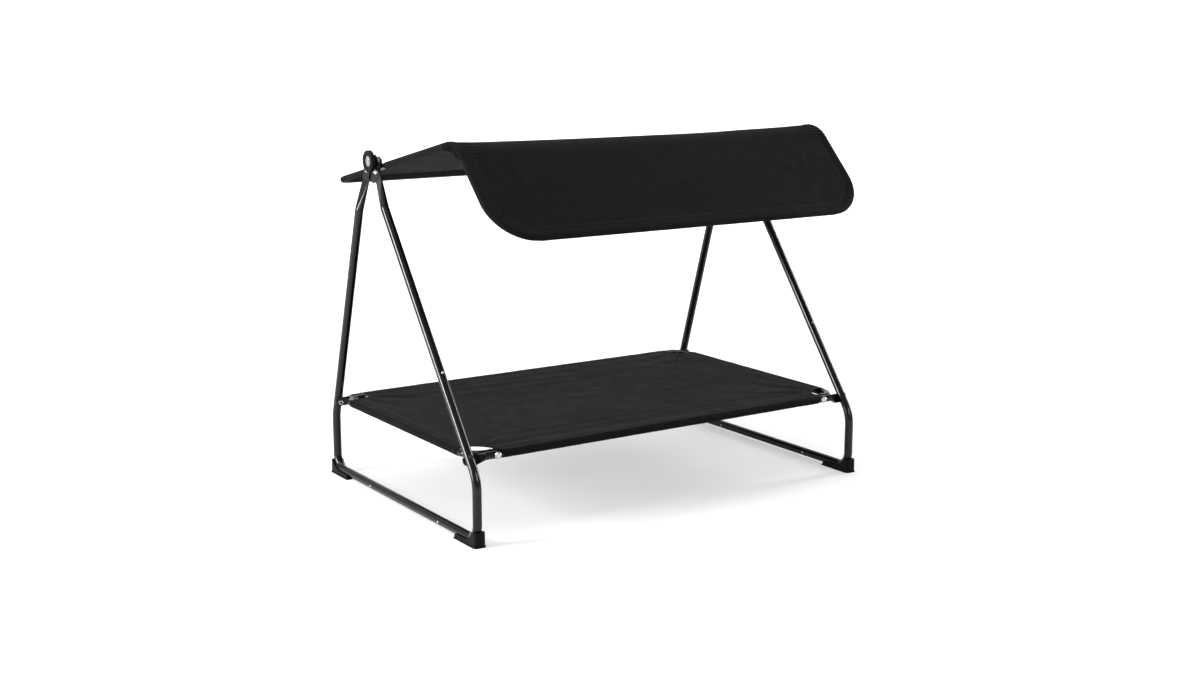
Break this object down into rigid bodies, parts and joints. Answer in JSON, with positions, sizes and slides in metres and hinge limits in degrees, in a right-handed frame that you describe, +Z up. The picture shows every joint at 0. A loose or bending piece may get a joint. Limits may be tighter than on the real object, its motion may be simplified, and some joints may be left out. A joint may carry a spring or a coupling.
{
  "type": "dog bed with frame",
  "caption": "Raised dog bed: a fabric sling on a tube frame hung between two triangular tube end frames, with a tilting sun canopy clamped by hand knobs.",
  "frame": {"origin": "on the floor, under the middle of the object's outline", "axes": "+X along the bed from the left end frame to the right one, -Y towards the front of the canopy, +Z up"},
  "size_m": [1.0294, 0.746, 0.8079],
  "materials": {
    "black_paint": "gloss black powder coat on steel tube",
    "zinc": "bright zinc plate",
    "spring_steel": "plain spring steel",
    "black_plastic": "matte black moulded plastic",
    "bed_cloth": "black coated polyester weave",
    "canopy_cloth": "black polyester weave"
  },
  "bodies": {
    "stand": {"base_tube_left": "black_paint", "base_tube_right": "black_paint", "lower_leg_front_left": "black_paint", "lower_leg_front_right": "black_paint", "lower_leg_rear_left": "black_paint", "lower_leg_rear_right": "black_paint", "middle_leg_front_left": "black_paint", "middle_leg_front_right": "black_paint", "middle_leg_rear_left": "black_paint", "middle_leg_rear_right": "black_paint", "upper_leg_front_left": "black_paint", "upper_leg_front_right": "black_paint", "upper_leg_rear_left": "black_paint", "upper_leg_rear_right": "black_paint", "foot_front_left": "black_plastic", "foot_front_right": "black_plastic", "foot_rear_left": "black_plastic", "foot_rear_right": "black_plastic", "apex_bracket_left": "black_paint", "apex_bracket_right": "black_paint", "apex_bolts": "zinc", "apex_nuts": "zinc", "bed_rail_front_left": "black_paint", "bed_rail_front_right": "black_paint", "bed_rail_rear_left": "black_paint", "bed_rail_rear_right": "black_paint", "bed_end_tube_left": "black_paint", "bed_end_tube_right": "black_paint", "rail_screws": "black_paint", "rail_nuts": "zinc", "corner_bolts": "zinc", "corner_nuts": "zinc", "bed_fabric": "bed_cloth", "snap_springs": "spring_steel"},
    "canopy": {"canopy_tube_front_left": "black_paint", "canopy_tube_front_right": "black_paint", "canopy_tube_rear_left": "black_paint", "canopy_tube_rear_right": "black_paint", "canopy_front_bar": "black_paint", "canopy_rear_bar": "black_paint", "canopy_fabric": "canopy_cloth", "pivot_bolts": "zinc", "pivot_spacers": "zinc"},
    "knob_left": {"tilt_knob_left": "black_plastic", "knob_insert_left": "zinc"},
    "knob_right": {"tilt_knob_right": "black_plastic", "knob_insert_right": "zinc"},
    "snap_button_base_front_left": {"snap_button_base_front_left": "zinc"},
    "snap_button_base_front_right": {"snap_button_base_front_right": "zinc"},
    "snap_button_base_rear_left": {"snap_button_base_rear_left": "zinc"},
    "snap_button_base_rear_right": {"snap_button_base_rear_right": "zinc"},
    "snap_button_front_low_left": {"snap_button_front_low_left": "zinc"},
    "snap_button_front_low_right": {"snap_button_front_low_right": "zinc"},
    "snap_button_front_high_left": {"snap_button_front_high_left": "zinc"},
    "snap_button_front_high_right": {"snap_button_front_high_right": "zinc"},
    "snap_button_rear_low_left": {"snap_button_rear_low_left": "zinc"},
    "snap_button_rear_low_right": {"snap_button_rear_low_right": "zinc"},
    "snap_button_rear_high_left": {"snap_button_rear_high_left": "zinc"},
    "snap_button_rear_high_right": {"snap_button_rear_high_right": "zinc"}
  },
  "joints": [
    {"name": "canopy_tilt", "type": "hinge", "parent": "stand", "child": "canopy", "pos_m": [0, 0.14422, 0.746], "axis": [1, 0, 0], "range_deg": [-35, 45]},
    {"name": "knob_turn_left", "type": "hinge", "parent": "canopy", "child": "knob_left", "pos_m": [-0.4985, 0.14422, 0.746], "axis": [-1, 0, 0], "range_deg": [0, 360]},
    {"name": "knob_turn_right", "type": "hinge", "parent": "canopy", "child": "knob_right", "pos_m": [0.4985, 0.14422, 0.746], "axis": [1, 0, 0], "range_deg": [0, 360]},
    {"name": "press_base_front_left", "type": "slide", "parent": "stand", "child": "snap_button_base_front_left", "axis": [1, 0, 0], "range_m": [0, 0.0038], "stiffness_N_per_m": 2500, "springref_m": -0.002},
    {"name": "press_base_front_right", "type": "slide", "parent": "stand", "child": "snap_button_base_front_right", "axis": [1, 0, 0], "range_m": [0, 0.0038], "stiffness_N_per_m": 2500, "springref_m": -0.002},
    {"name": "press_base_rear_left", "type": "slide", "parent": "stand", "child": "snap_button_base_rear_left", "axis": [1, 0, 0], "range_m": [0, 0.0038], "stiffness_N_per_m": 2500, "springref_m": -0.002},
    {"name": "press_base_rear_right", "type": "slide", "parent": "stand", "child": "snap_button_base_rear_right", "axis": [1, 0, 0], "range_m": [0, 0.0038], "stiffness_N_per_m": 2500, "springref_m": -0.002},
    {"name": "press_front_low_left", "type": "slide", "parent": "stand", "child": "snap_button_front_low_left", "axis": [0, 0.7999, -0.6001], "range_m": [0, 0.0038], "stiffness_N_per_m": 2500, "springref_m": -0.002},
    {"name": "press_front_low_right", "type": "slide", "parent": "stand", "child": "snap_button_front_low_right", "axis": [0, 0.7999, -0.6001], "range_m": [0, 0.0038], "stiffness_N_per_m": 2500, "springref_m": -0.002},
    {"name": "press_front_high_left", "type": "slide", "parent": "stand", "child": "snap_button_front_high_left", "axis": [0, -0.7999, 0.6001], "range_m": [0, 0.0038], "stiffness_N_per_m": 2500, "springref_m": -0.002},
    {"name": "press_front_high_right", "type": "slide", "parent": "stand", "child": "snap_button_front_high_right", "axis": [0, -0.7999, 0.6001], "range_m": [0, 0.0038], "stiffness_N_per_m": 2500, "springref_m": -0.002},
    {"name": "press_rear_low_left", "type": "slide", "parent": "stand", "child": "snap_button_rear_low_left", "axis": [0, -0.9543, -0.2988], "range_m": [0, 0.0038], "stiffness_N_per_m": 2500, "springref_m": -0.002},
    {"name": "press_rear_low_right", "type": "slide", "parent": "stand", "child": "snap_button_rear_low_right", "axis": [0, -0.9543, -0.2988], "range_m": [0, 0.0038], "stiffness_N_per_m": 2500, "springref_m": -0.002},
    {"name": "press_rear_high_left", "type": "slide", "parent": "stand", "child": "snap_button_rear_high_left", "axis": [1, 0, 0], "range_m": [0, 0.0038], "stiffness_N_per_m": 2500, "springref_m": -0.002},
    {"name": "press_rear_high_right", "type": "slide", "parent": "stand", "child": "snap_button_rear_high_right", "axis": [-1, 0, 0], "range_m": [0, 0.0038], "stiffness_N_per_m": 2500, "springref_m": -0.002}
  ]
}
